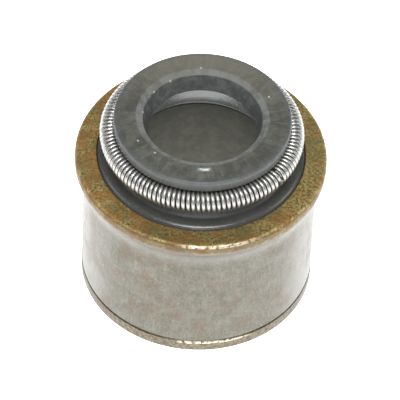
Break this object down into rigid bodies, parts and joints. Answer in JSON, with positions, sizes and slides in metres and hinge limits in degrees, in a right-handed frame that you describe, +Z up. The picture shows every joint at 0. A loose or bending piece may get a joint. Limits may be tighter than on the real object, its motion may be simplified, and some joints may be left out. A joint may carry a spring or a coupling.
{
  "type": "valve stem seal",
  "caption": "Rubber valve stem seal bonded in a flanged steel sleeve, with a garter spring round its head.",
  "frame": {"origin": "centre of the sleeve's foot, on the plane that the foot stands on", "axes": "+Z up along the axis of the valve stem, from the sleeve's open foot to the head of the seal"},
  "size_m": [0.0174, 0.0174, 0.0152],
  "materials": {
    "plated_steel": "drawn sheet steel, dull grey on the sleeve, golden passivated plating with brown stains on the flange",
    "seal_rubber": "moulded dark grey rubber, semi-matt",
    "spring_steel": "bright drawn spring wire"
  },
  "bodies": {
    "root": {"steel_case": "plated_steel", "seal_body": "seal_rubber", "garter_spring": "spring_steel"}
  },
  "joints": []
}
